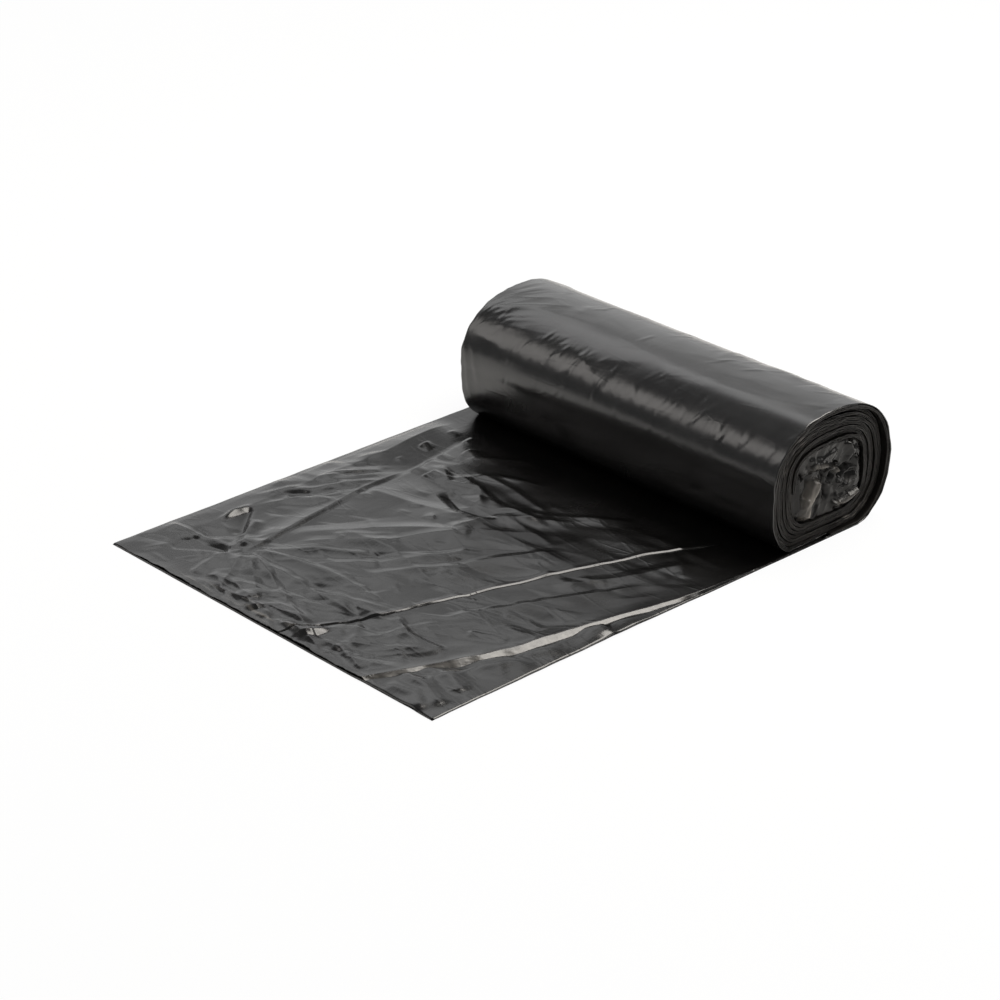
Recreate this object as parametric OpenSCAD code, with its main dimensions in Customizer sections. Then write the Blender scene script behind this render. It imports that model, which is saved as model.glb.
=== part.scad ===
// Roll of black bin bags: one long web of film, wound without a core, with its free end lying out flat.
// X runs along the roll, -Y is the way the free end points, Z is up, and the underside lies at Z = 0.

/* [Web] */
// Width of the folded web, measured along the roll
web_w = 230; // [180:1:300]
// Thickness of the folded web where it lies out flat
web_t = 0.9; // [0.6:0.1:1.4]
// Thickness of the lowest plies, which show bare beside the flap
ply_t = 0.5; // [0.3:0.1:0.6]

/* [Roll] */
// Depth of the roll from front to back
roll_w = 82; // [66:1:110]
// Height of the settled roll
roll_h = 67.4; // [54:0.2:90]
// Number of wound turns from the hollow to the outside
turns = 9; // [6:1:11]
// Gap of air between neighbouring turns
turn_gap = 0.3; // [0.15:0.05:0.5]
// How far the top of the roll leans towards the free end
roll_lean = 4; // [0:0.5:6]
// How far the underside would bulge below the floor if the roll were not flattened by its weight
roll_press = 3.4; // [1:0.2:6]
// How much lower the roll is at its left end than at its right end
roll_taper = 2; // [0:0.5:4]

/* [Hollow] */
// Depth of the collapsed hollow from front to back
core_w = 46; // [36:1:56]
// Height of the collapsed hollow
core_h = 34.8; // [28:0.2:42]
// How far the hollow has sunk below the middle of the roll
core_drop = 4.3; // [0:0.1:6]
// Thickness of the crumpled inner end of the web
crumple_t = 1.3; // [0.8:0.1:2]
// How far the crumple shifts from one end of the roll to the other
crumple_shift = 4; // [0:0.5:5]

/* [Ends] */
// How far the left edge of the outer turn lies in from the left edge of the free end
left_inset = 10.5; // [0:0.5:14]
// How much further out each turn stands than the turn around it, at the left end
left_step = 2.2; // [0:0.1:3]
// How far the innermost turns stand out past the left edge of the free end
left_proud = 2.4; // [0:0.1:5]
// How far the inner turns lie back from the right edge of the outer turn
right_inset = 2.6; // [0:0.1:5]
// Unevenness of the turns at the right end
right_wander = 0.8; // [0:0.1:2]
// How much further back the crumpled inner end lies at either end
crumple_inset = 5; // [0:0.5:10]

/* [Free end] */
// Length of web lying flat, from its front edge to below the middle of the roll
tail_len = 259; // [180:1:360]
// Rise of the puffed flap fold along the right side
flap_rise = 2.8; // [0.5:0.1:5]
// Width of the flap's rolled edge, from its crest down to the plies below
flap_edge = 5; // [2:0.5:8]
// Rise of the long seam beside the flap
seam_rise = 1.5; // [0.3:0.1:3]
// Width of the seam's steep side
seam_edge = 2.5; // [1:0.5:5]
// Rise of the film on both sides of the long pressed crease
crease_rise = 1.5; // [0.3:0.1:3]
// Distance from a long fold to the shoulder of the film beside it
shoulder_w = 9; // [5:0.5:12]
// Rise of the fold that bounds the smooth strip along the left edge
strip_rise = 1.8; // [0.4:0.1:3]
// Rise of the loose plies where they lie puffed over the middle of the free end
puff_rise = 3.4; // [0:0.1:5]
// Rise of the front hem where the upper plies stand off the floor
hem_rise = 1.7; // [0.3:0.1:4]
// Scale of the short cross folds, 0 for none
fold_scale = 1; // [0:0.1:1.5]

/* [Hidden] */

film = "#1d1c1d";

// Facets: stations round one turn, rows down the free end, and columns across the outer turn and the crumple
turn_stations = 48;
tail_rows = 46;
nip_rows = 3;
outer_cols = 20;
crumple_cols = 5;
crumple_steps = 3;

// The roll stands this far from the front edge, and the hollow's centre lies below the roll's
roll_y = tail_len;
mid_z = roll_h / 2;
core_z = mid_z - core_drop;

// Squareness of the settled outline: 2 is round, and more is squarer
square_top_front = 2;
square_top_back = 2.5;
square_low_front = 3;
square_low_back = 2.4;
square_core = 3.5;

// The neat turns begin on the front wall of the hollow, where the crumple leaves it
start_turn = 1.25;
// The outer turn's edge has drawn in fully once it is down the front of the roll
inset_turns = 0.6;

// Lines of the free end's long folds: [share of tail_len, share of web_w]
strip_line = [[0, 0.07], [0.36, 0.06], [0.73, 0.025], [1, 0.02]];
crease_line = [[0, 0.26], [0.15, 0.235], [0.58, 0.165], [0.87, 0.1], [1, 0.09]];
seam_line = [[0, 0.54], [0.07, 0.58], [0.16, 0.64], [0.35, 0.7], [0.48, 0.745], [0.67, 0.805], [0.81, 0.865], [1, 0.88]];
flap_line = [[0, 0.79], [0.03, 0.815], [0.18, 0.9], [0.26, 0.925], [0.44, 0.95], [0.57, 0.97], [0.68, 0.985], [1, 0.985]];

// How strongly each long fold stands up along the free end: [share of tail_len, share of its rise]
strip_fade = [[0, 0], [0.2, 0.2], [0.42, 0.8], [0.7, 1], [0.78, 0.7], [0.84, 0]];
crease_fade = [[0.08, 0], [0.16, 1], [0.6, 0.8], [0.8, 0]];
seam_fade = [[0, 0.3], [0.08, 0.6], [0.3, 1], [0.6, 0.9], [0.8, 0]];
flap_fade = [[0, 0.2], [0.06, 0.7], [0.2, 1], [0.44, 0.8], [0.6, 0.3], [0.68, 0]];
hem_fade = [[0, 0.15], [0.03, 0.9], [0.05, 1], [0.1, 0.2], [0.13, 0]];
hem_along = [[0, 0], [0.08, 0.3], [0.18, 1], [0.28, 0.45], [0.45, 1], [0.62, 0.8], [0.7, 0.2], [0.78, 0.7], [0.83, 0]];
// Where the flap has run off the right edge, all plies reach it: [share of tail_len, share]
bare_fade = [[0, 1], [0.58, 1], [0.68, 0]];

// Short cross folds of the free end: [start across, start along, end across, end along, rise, half width],
// with places as shares of web_w and tail_len, and rise and half width in millimetres
cross_folds = [
    [0.01, 0.12, 0.22, 0.15, 0.9, 8],
    [0.26, 0.14, 0.6, 0.14, 1.2, 9],
    [0.23, 0.15, 0.14, 0.25, 1.0, 8],
    [0.06, 0.36, 0.17, 0.52, 1.7, 8],
    [0.07, 0.37, 0.17, 0.45, 1.2, 7],
    [0.17, 0.64, 0.4, 0.58, 1.3, 9],
    [0.4, 0.58, 0.6, 0.66, 1.1, 9],
    [0.47, 0.47, 0.49, 0.57, 0.9, 8],
    [0.3, 0.27, 0.52, 0.38, 0.8, 10],
    [0.35, 0.42, 0.6, 0.3, 0.7, 9],
    [0.68, 0.16, 0.84, 0.3, 0.8, 9],
    [0.76, 0.5, 0.88, 0.42, 0.8, 9],
    [0.62, 0.03, 0.76, 0.09, 1.2, 9],
    [0.84, 0.05, 0.95, 0.04, 0.8, 8],
];

// Gathers in the outer turn: [start along, start angle, end along, end angle, rise, half width],
// with the distance along as a share of web_w, the angle round the roll in degrees (0 at the back, 90 on
// top, 180 at the front), and rise and half width in millimetres
gathers = [
    [0.05, 160, 0.16, 100, 0.9, 7],
    [0.07, 150, 0.3, 88, 0.7, 7],
    [0.1, 118, 0.5, 104, 0.6, 6],
    [0.03, 135, 0.08, 80, 0.7, 6],
    [0.6, 95, 0.8, 70, 0.4, 8],
    [0.72, 120, 0.95, 96, 0.5, 8],
    [0.45, 165, 0.5, 142, 0.5, 8],
    [0.75, 172, 0.8, 150, 0.5, 8],
];

// The crumpled inner end, from the tongue in the middle out to the front wall of the hollow,
// in shares of the hollow's half width and half height
crumple_route = [
    [0.16, 0.18],
    [0.36, 0.36],
    [0.52, 0.1],
    [0.36, -0.46],
    [0.12, -0.58],
    [0.05, -0.1],
    [-0.1, 0.26],
    [-0.3, -0.1],
    [-0.48, -0.5],
    [-0.66, -0.42],
    [-0.68, 0.05],
    [-0.7, 0.5],
    [-0.44, 0.68],
    [-0.08, 0.55],
    [0.3, 0.72],
    [0.66, 0.64],
    [0.8, 0.2],
    [0.82, -0.4],
    [0.66, -0.76],
    [0.2, -0.82],
    [-0.4, -0.84],
    [-0.8, -0.76],
    [-0.96, -0.4],
];

function mix(a, b, f) = a + (b - a) * f;
function ease(f) = let (g = min(1, max(0, f))) g * g * (3 - 2 * g);

// Distance from p to the stretch between a and b, in the plane
function away(p, a, b) =
    let (
        d = b - a,
        f = min(1, max(0, ((p - a) * d) / max(1e-6, d * d)))
    )
    norm(p - a - f * d);

// A fold is a crest that falls away evenly on both sides and at its ends
function crest(p, a, b, rise, half) = rise * ease(1 - away(p, a, b) / half);

// A settled outline about its centre, at an angle in degrees from the back
function squircle(angle, half_w, half_h, square) =
    let (
        c = abs(cos(angle)) / half_w,
        s = abs(sin(angle)) / half_h,
        r = 1 / pow(pow(c, square) + pow(s, square), 1 / square)
    )
    [r * cos(angle), r * sin(angle)];

function outer_square(angle) =
    let (front = cos(angle) < 0, top = sin(angle) >= 0)
    top ? (front ? square_top_front : square_top_back) : (front ? square_low_front : square_low_back);

// The roll's outside and the wall of its hollow, as [Y, Z] of the part. The outside is drawn larger by what
// the outer turn has wound inwards at that angle, so that roll_w and roll_h hold over the finished roll.
step_w = (roll_w - core_w) / 2 / turns;
step_h = (roll_h / 2 + core_drop - core_h / 2) / turns;
function outside(angle) =
    let (
        wound = ((angle + 90) % 360) / 360,
        low = sin(angle) < 0 ? roll_press : 0,
        half_w = roll_w / 2 + wound * step_w,
        half_h = roll_h / 2 + wound * step_h + low,
        p = squircle(angle, half_w, half_h, outer_square(angle)),
        lean = roll_lean * max(0, p[1]) / (roll_h / 2)
    )
    [roll_y + p[0] - lean, max(0, mid_z + p[1])];
function hollow(angle) =
    [roll_y, core_z] + squircle(angle, core_w / 2, core_h / 2, square_core);

// A turn's number v counts outwards from the hollow. It winds under the roll, up the front and over.
function turn_angle(v) = 360 * (turns - v) - 90;
function wall(v, share) =
    let (a = turn_angle(v))
    mix(hollow(a), outside(a), share);
function wall_depth(v) = norm(outside(turn_angle(v)) - hollow(turn_angle(v)));
function turn_outer(v) = wall(v, v / turns);
function turn_inner(v) = wall(v, (v - 1) / turns + turn_gap / wall_depth(v));
function outward(v) =
    let (d = outside(turn_angle(v)) - hollow(turn_angle(v)))
    d / norm(d);

// Left and right edges of the web by turn number
function left_edge(v) =
    let (inward = turns - v)
    inward < inset_turns
        ? left_inset * ease(inward / inset_turns)
        : max(-left_proud, left_inset - left_step * (inward - inset_turns));
function right_edge(v) =
    let (inward = turns - v, back = right_inset * ease((inward - inset_turns) / 0.6))
    web_w - back - (back > 0 ? right_wander * (1 - cos(360 * 0.37 * inward)) / 2 : 0);

// The whole roll is a little lower towards its left end
function settle(x, p) = [x, p[0], p[1] * (1 - (roll_taper / roll_h) * (1 - x / web_w))];

// Station of a plain turn: its inner row and its outer row of points, from left to right
function turn_station(v) =
    let (xs = [left_edge(v), right_edge(v)])
    [[for (x = xs) settle(x, turn_inner(v))], [for (x = xs) settle(x, turn_outer(v))]];

// Station of the outer turn, with its gathers. Columns crowd towards the left end.
function gather(x, angle, g) =
    let (round_mm = PI / 180 * (roll_w + roll_h) / 4)
    crest(
        [x, angle * round_mm],
        [g[0] * web_w, g[1] * round_mm],
        [g[2] * web_w, g[3] * round_mm],
        g[4],
        g[5]
    );
function gathered(x, angle) = max([for (g = gathers) gather(x, angle, g)]);
function outer_station(v) =
    let (
        xs = [
            for (c = [0 : outer_cols - 1])
                mix(left_edge(v), right_edge(v), pow(c / (outer_cols - 1), 1.4))
        ]
    )
    [
        turn_station(v)[0],
        [for (x = xs) settle(x, turn_outer(v) + outward(v) * gathered(x, turn_angle(v)))]
    ];

// The crumpled inner end: a smooth curve through the route's points, which shifts along the roll
crumple_first = turn_inner(start_turn) / 2 + turn_outer(start_turn) / 2;
crumple_next = turn_inner(start_turn + 1 / turn_stations) / 2 + turn_outer(start_turn + 1 / turn_stations) / 2;
function route_point(i, f) =
    let (
        n = len(crumple_route),
        p = crumple_route[min(n - 1, max(0, i))],
        slack = max(0, 1 - p * p),
        shift = crumple_shift * slack * [sin(300 * f - 60), cos(220 * f + 30)]
    )
    i >= n + 1 ? crumple_next
    : i == n ? crumple_first
    : [roll_y + p[0] * core_w / 2, core_z + p[1] * core_h / 2] + shift;
function curve(a, b, c, d, f) =
    0.5 * (2 * b + (c - a) * f + (2 * a - 5 * b + 4 * c - d) * f * f + (3 * b - a - 3 * c + d) * f * f * f);
function crumple_point(k, f) =
    let (i = floor(k / crumple_steps), g = k / crumple_steps - i)
    g == 0
        ? route_point(i, f)
        : curve(route_point(i - 1, f), route_point(i, f), route_point(i + 1, f), route_point(i + 2, f), g);
crumple_count = len(crumple_route) * crumple_steps;
function crumple_station(k) =
    let (
        reach = k / crumple_count,
        back = crumple_inset * (1 - reach * reach),
        x0 = left_edge(start_turn) + back + sin(k * 25) * back / 4,
        x1 = right_edge(start_turn) - back - cos(k * 31) * back / 4,
        thick = mix(crumple_t, norm(turn_outer(start_turn) - turn_inner(start_turn)), ease(6 * reach - 5)),
        cols = [
            for (c = [0 : crumple_cols - 1])
                let (
                    f = c / (crumple_cols - 1),
                    d = crumple_point(k + 1, f) - crumple_point(max(0, k - 1), f),
                    side = [-d[1], d[0]] / norm(d) * thick / 2
                )
                [mix(x0, x1, f), crumple_point(k, f), side]
        ]
    )
    [[for (c = cols) settle(c[0], c[1] - c[2])], [for (c = cols) settle(c[0], c[1] + c[2])]];

// The free end: rails follow the long folds, and columns stand between neighbouring rails
rail_cols = [2, 4, 1, 1, 9, 1, 1, 6, 1, 1, 3];
function rails_x(s) =
    let (
        strip = lookup(s, strip_line) * web_w,
        crease = lookup(s, crease_line) * web_w,
        seam = lookup(s, seam_line) * web_w,
        flap = lookup(s, flap_line) * web_w,
        room = crease - strip
    )
    [
        0,
        strip,
        crease - min(shoulder_w, room / 2),
        crease,
        crease + shoulder_w,
        seam - shoulder_w,
        seam,
        seam + seam_edge,
        flap - min(shoulder_w, (flap - seam - seam_edge) / 2),
        flap,
        flap + min(flap_edge, (web_w - flap) / 2),
        web_w
    ];
function rails_z(s) =
    let (
        bare = mix(web_t, ply_t, lookup(s, bare_fade)),
        crease = crease_rise * lookup(s, crease_fade),
        seam = seam_rise * lookup(s, seam_fade),
        flap = flap_rise * lookup(s, flap_fade)
    )
    [
        web_t,
        web_t + strip_rise * lookup(s, strip_fade),
        web_t + crease,
        web_t,
        web_t + crease,
        web_t + seam / 3,
        web_t + seam,
        web_t,
        web_t + flap / 4,
        bare + flap,
        bare,
        bare
    ];
function cross_rise(x, y) =
    fold_scale * max([
        for (c = cross_folds)
            crest(
                [x, y],
                [c[0] * web_w, c[1] * tail_len],
                [c[2] * web_w, c[3] * tail_len],
                c[4],
                c[5]
            )
    ]);
// The puffed middle comes down slowly to all four sides, and across is a share of web_w
function puff(across, s) =
    puff_rise * ease(s / 0.31) * ease((nip - s) / 0.42) * ease((across - 0.03) / 0.26) * ease((1 - across) / 0.48);
// s is the share of the way from the front edge to below the roll
function tail_columns(s) =
    let (xs = rails_x(s), zs = rails_z(s))
    [
        for (r = [0 : len(rail_cols) - 1])
            for (k = [0 : rail_cols[r] - 1])
                let (f = k / rail_cols[r])
                [mix(xs[r], xs[r + 1], f), mix(zs[r], zs[r + 1], f)],
        [web_w, zs[len(zs) - 1]]
    ];
// The underside is flat, and needs a point below each column only at the front edge
function underside(y, xs) = [for (x = y > 0 ? [0, web_w] : xs) [x, y, 0]];
function tail_station(s) =
    let (
        cols = tail_columns(s),
        y = s * tail_len,
        on_top = ease(x_open(s))
    )
    [
        [
            for (c = cols)
                let (
                    hem = hem_rise * lookup(s, hem_fade) * lookup(c[0] / web_w, hem_along),
                    inside = min(1, min(c[0], web_w - c[0]) / shoulder_w)
                )
                [c[0], y, c[1] + on_top * inside * max(hem, cross_rise(c[0], y)) + puff(c[0] / web_w, s)]
        ],
        underside(y, [for (c = cols) c[0]])
    ];
// Cross folds die away where the roll bears down, and at the very front edge
nip = 1 - 0.5 * roll_w / tail_len;
function x_open(s) = min((nip - s) * 12, 0.15 + s * 25);

// Under the roll the web is as thick as a pressed turn, and thins to its flat thickness at the nip
press_t = turn_inner(turns)[1];
function nip_station(k) =
    let (
        f = k / (nip_rows + 1),
        s = mix(1, nip, f),
        z = mix(press_t, web_t, f)
    )
    [
        [for (c = tail_columns(s)) [c[0], s * tail_len, z]],
        underside(s * tail_len, [])
    ];

// All stations of the web in order, from the tongue in the hollow to the front edge
plain_count = round((turns - 1 - start_turn) * turn_stations);
stations = concat(
    [for (k = [0 : crumple_count - 1]) crumple_station(k)],
    [for (k = [0 : plain_count - 1]) turn_station(start_turn + k / turn_stations)],
    [for (k = [0 : turn_stations]) outer_station(turns - 1 + k / turn_stations)],
    [for (k = [1 : nip_rows]) nip_station(k)],
    [for (k = [0 : tail_rows]) tail_station(nip * (1 - k / tail_rows))]
);

// Points are numbered station by station, the inner row before the outer row
in_counts = [for (s = stations) len(s[0])];
out_counts = [for (s = stations) len(s[1])];
in_starts = [
    for (i = 0, at = 0; i < len(stations); at = at + in_counts[i] + out_counts[i], i = i + 1) at
];
out_starts = in_starts + in_counts;
web_points = [for (s = stations) each concat(s[0], s[1])];

// Triangles between two rows that may differ in their number of points
function zip_far(i, na, nb) = floor((i + 0.5) / (na - 1) * (nb - 1) + 0.5);
function zip_near(j, na, nb) = len([for (i = [0 : na - 2]) if (zip_far(i, na, nb) <= j) i]);
function between_rows(a, na, b, nb) = concat(
    [for (i = [0 : na - 2]) [a + i, a + i + 1, b + zip_far(i, na, nb)]],
    [for (j = [0 : nb - 2]) [b + j + 1, b + j, a + zip_near(j, na, nb)]]
);
// Rows of many points are alike, and each square between them is split along its more level diagonal
function split_square(a, b) =
    abs(web_points[a][2] - web_points[b + 1][2]) < abs(web_points[a + 1][2] - web_points[b][2])
        ? [[a, a + 1, b + 1], [a, b + 1, b]]
        : [[a, a + 1, b], [a + 1, b + 1, b]];
function skin(starts, counts, i) =
    let (
        a = starts[i],
        b = starts[i + 1],
        na = counts[i],
        nb = counts[i + 1]
    )
    na == nb && na > crumple_cols
        ? [for (c = [0 : na - 2]) each split_square(a + c, b + c)]
        : between_rows(a, na, b, nb);
function turned(faces) = [for (f = faces) [f[2], f[1], f[0]]];
function quad(a, b, c, d) = [[a, b, c], [a, c, d]];
function row_end(starts, counts, i) = starts[i] + counts[i] - 1;
function strip_faces(i) = concat(
    skin(in_starts, in_counts, i),
    turned(skin(out_starts, out_counts, i)),
    quad(in_starts[i], in_starts[i + 1], out_starts[i + 1], out_starts[i]),
    quad(
        row_end(in_starts, in_counts, i),
        row_end(out_starts, out_counts, i),
        row_end(out_starts, out_counts, i + 1),
        row_end(in_starts, in_counts, i + 1)
    )
);
function cap_faces(i) = between_rows(in_starts[i], in_counts[i], out_starts[i], out_counts[i]);
last = len(stations) - 1;
web_faces = concat(
    [for (i = [0 : last - 1]) each strip_faces(i)],
    turned(cap_faces(0)),
    cap_faces(last)
);

// The origin is the middle of the part's footprint, on the floor
function middle(axis) = (max([for (p = web_points) p[axis]]) + min([for (p = web_points) p[axis]])) / 2;

module bag_roll() {
    color(film)
        translate([-middle(0), -middle(1), 0])
            polyhedron(points = web_points, faces = web_faces, convexity = 20);
}

bag_roll();
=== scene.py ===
"""Roll of black bin bags with its free end drawn out flat: close-up shapes, finish, light and camera."""

import math

import bmesh
import bpy
import numpy as np
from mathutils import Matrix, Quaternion, Vector


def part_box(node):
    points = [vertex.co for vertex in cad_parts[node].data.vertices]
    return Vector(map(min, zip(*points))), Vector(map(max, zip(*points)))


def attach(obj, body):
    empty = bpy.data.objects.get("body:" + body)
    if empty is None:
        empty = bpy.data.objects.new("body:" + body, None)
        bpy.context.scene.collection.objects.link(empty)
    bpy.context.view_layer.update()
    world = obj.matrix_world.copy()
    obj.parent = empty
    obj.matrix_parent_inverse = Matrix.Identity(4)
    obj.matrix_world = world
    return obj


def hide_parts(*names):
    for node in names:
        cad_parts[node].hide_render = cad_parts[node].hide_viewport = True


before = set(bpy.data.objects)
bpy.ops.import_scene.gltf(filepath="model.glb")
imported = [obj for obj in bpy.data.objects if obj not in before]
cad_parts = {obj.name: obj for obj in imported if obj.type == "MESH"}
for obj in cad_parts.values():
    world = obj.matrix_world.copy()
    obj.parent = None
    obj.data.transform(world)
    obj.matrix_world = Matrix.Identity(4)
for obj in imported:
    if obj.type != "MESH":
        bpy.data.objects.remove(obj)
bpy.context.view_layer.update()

# Sizes of the web and the roll in millimetres, and the number of turns, as the part's source has them
WEB_W = 230.0
ROLL_W = 82.0
ROLL_H = 67.4
TURNS = 9
TURN_GAP = 0.3
# How far the top leans towards the free end, and how far the flattened underside would bulge below the floor
LEAN = 4.0
PRESS = 3.4
# How much lower the roll is at its left end than at its right end
TAPER = 2.0
# The collapsed hollow, and how far it has sunk below the middle of the roll
HOLLOW_W = 46.0
HOLLOW_H = 34.8
HOLLOW_DROP = 4.3
# The neat turns begin on the front wall of the hollow
START_TURN = 1.25
# Squareness of the settled outlines: 2 is round, and more is squarer
SQUARE_TOP_FRONT = 2.0
SQUARE_TOP_BACK = 2.5
SQUARE_LOW_FRONT = 3.0
SQUARE_LOW_BACK = 2.4
SQUARE_HOLLOW = 3.5
# Left end: the outer turn lies in, each turn inside it stands further out, and the innermost stand proud
LEFT_INSET = 10.5
LEFT_STEP = 2.2
LEFT_PROUD = 2.4
# Right end: the inner turns lie back a little, unevenly, with so many waves in a turn
RIGHT_INSET = 2.6
RIGHT_WANDER = 0.8
WANDER_WAVES = 0.37
# Turns over which the outer turn's edges draw in
INSET_TURNS = 0.6
# Length of the free end, from its front edge to below the middle of the roll, and where the roll's front is
TAIL = 259.0
NIP = TAIL - ROLL_W / 2
# Rises of the loose plies where they lie puffed, and of the fold that bounds the smooth strip
PUFF = 3.4
STRIP = 1.8

# Lines of the free end's long folds: [distance from the front edge, distance from the left edge]. They follow
# the part's source, but the smooth strip is wider near the roll
STRIP_LINE = np.array([[0, 16], [93, 15], [153, 16.5], [166, 15.6], [187, 12.4], [205, 10.5], [259, 8]])
CREASE_LINE = np.array([[0, 60], [39, 54], [150, 38], [161, 37], [225, 23], [259, 21]])
SEAM_LINE = np.array([[0, 124], [19, 132], [43, 147], [62, 152], [92, 160], [127, 170], [175, 184],
                      [212, 198], [259, 203]])
FLAP_LINE = np.array([[0, 182], [11, 187], [51, 205], [72, 211], [117, 218], [150, 225], [173, 228.6],
                      [259, 229.2]])
# How strongly the strip's fold stands up: [distance from the front edge, share of its rise]
STRIP_FADE = np.array([[0, 0], [52, 0.2], [109, 0.8], [181, 1], [202, 0.7], [218, 0]])
# How strongly the front hem stands off the floor: [distance from the left edge, share]
HEM_LINE = np.array([[0, 0.1], [12, 0.2], [22, 1.2], [40, 1.9], [58, 1.3], [72, 0.4], [84, 0.9], [96, 1.8],
                     [112, 1.1], [128, 1.9], [146, 1.2], [158, 0.5], [172, 1.3], [190, 0.3], [230, 0.2]])
# Width of the pressed crease's steep side
CREASE_STEEP = 2.9
# Share of the flap's columns that lie on top, before its folded edge goes down
FLAP_TOP = 0.86

# How far the upper and the lowest plies run on beyond the roll's middle
UPPER_PAST = 4
LOWER_PAST = 20
# Heights above the ground: the upper plies, the main film above them, and the least heights of other film
UPPER_PLIES = 0.62
MAIN_ABOVE = 0.12
FLAP_FLOOR = 0.42
LOWER_FLOOR = 0.3
ROLL_FLOOR = 0.62
# Plies of the wound web that are modelled one by one, and the rough length of a turn, for their pattern
PLIES = 3
TURN_LENGTH = 222
# The outermost film runs from under the roll, round the back and over the top to the front, as turns
OUTER_START = 9.02
OUTER_END = 7.9
# Steps from an edge of the web at which the turns' columns lie
EDGE_STEPS = np.array([0, 0.25, 0.7, 1.4, 2.4, 4, 6.5, 10, 15, 24])

low_corner, high_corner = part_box("bag_roll")
SHIFT = np.array([high_corner[0] - WEB_W / 1000, low_corner[1], 0.0])


def mix(a, b, f):
    return a + (b - a) * f


def ease(f):
    """A smooth step from 0 at f = 0 to 1 at f = 1."""
    f = np.clip(f, 0, 1)
    return f * f * (3 - 2 * f)


def bump(f):
    """One smooth hump, 1 at f = 0 and 0 from f = 1 outwards."""
    return ease(1 - np.abs(f))


def spot(x, y, middle_x, middle_y, reach):
    """One smooth round hump, 1 in its middle and 0 from its reach outwards."""
    return bump(np.hypot(x - middle_x, y - middle_y) / reach)


def place(x, y, z):
    """Millimetres from the free end's front left corner, as metres of the part."""
    return np.stack([x, y, z], axis=-1) / 1000 + SHIFT


# Chance, always the same, from square tables of chance values with this many to a side
TABLE = 64


def rough(seed, x, y):
    """Smooth random heights from about -1 to 1, with about one swell for each unit of x and y."""
    angles = np.random.default_rng(seed).uniform(0, 2 * np.pi, (TABLE, TABLE))
    cx, cy = np.floor(x).astype(int), np.floor(y).astype(int)
    fx, fy = x - cx, y - cy

    def corner(i, j):
        a = angles[(cx + i) % TABLE, (cy + j) % TABLE]
        return np.cos(a) * (fx - i) + np.sin(a) * (fy - j)

    ux = fx ** 3 * (fx * (fx * 6 - 15) + 10)
    uy = fy ** 3 * (fy * (fy * 6 - 15) + 10)
    return 1.5 * mix(mix(corner(0, 0), corner(1, 0), ux), mix(corner(0, 1), corner(1, 1), ux), uy)


def rough_line(seed, t):
    """Smooth random heights along a line, with about one swell for each unit of t."""
    return rough(seed, t, 0 * t)


def facets(seed, x, y, slant, long, short):
    """Crumpled cells with flat sides: millimetres from the nearest cell border, a sharp straight crease."""
    c, s = math.cos(math.radians(slant)), math.sin(math.radians(slant))
    px, py = (x * c + y * s) / long, (y * c - x * s) / short
    shifts = np.random.default_rng(seed).uniform(0.08, 0.92, (TABLE, TABLE, 2))
    cx, cy = np.floor(px).astype(int), np.floor(py).astype(int)
    near = np.full(np.shape(x), np.inf)
    next_near = np.full(np.shape(x), np.inf)
    for i in (-1, 0, 1):
        for j in (-1, 0, 1):
            shift = shifts[(cx + i) % TABLE, (cy + j) % TABLE]
            off = np.hypot(cx + i + shift[..., 0] - px, cy + j + shift[..., 1] - py)
            next_near = np.minimum(next_near, np.maximum(near, off))
            near = np.minimum(near, off)
    return (next_near - near) / 2 * short


def along(path, x, y):
    """Signed distance from a path, positive on its left, and the share of the way along it."""
    path = np.array(path, dtype=float)
    steps = np.diff(path, axis=0)
    lengths = np.hypot(steps[:, 0], steps[:, 1])
    start = np.concatenate([[0], np.cumsum(lengths)])
    best = np.full(np.shape(x), np.inf)
    side = np.zeros(np.shape(x))
    share = np.zeros(np.shape(x))
    for i, (dx, dy) in enumerate(steps):
        px, py = x - path[i, 0], y - path[i, 1]
        t = (px * dx + py * dy) / lengths[i] ** 2
        if i > 0:
            t = np.maximum(t, 0)
        if i < len(steps) - 1:
            t = np.minimum(t, 1)
        off = np.hypot(px - t * dx, py - t * dy)
        near = off < best
        best = np.where(near, off, best)
        side = np.where(near, np.sign(dx * py - dy * px), side)
        share = np.where(near, (start[i] + t * lengths[i]) / start[-1], share)
    return best * side, share


def flank(d, left, right):
    """A crease seen across: a kink at d = 0 whose two flanks flatten out at their feet."""
    off = np.sqrt(d * d + 0.08) - 0.28
    return np.maximum(0, 1 - off / np.where(d > 0, left, right)) ** 1.5


def fold(x, y, path, rise, left, right, fade=0.15):
    """A sharp fold along a path, whose flanks reach `left` and `right` millimetres to its two sides."""
    d, t = along(path, x, y)
    return rise * ease(t / fade) * ease((1 - t) / fade) * flank(d, left, right)


def tent(x, y, path, rise, left, right, fade):
    """A stiff fold with straight flanks."""
    d, t = along(path, x, y)
    straight = np.maximum(0, 1 - np.abs(d) / np.where(d > 0, left, right))
    return rise * ease(t / fade) * ease((1 - t) / fade) * straight


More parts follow.
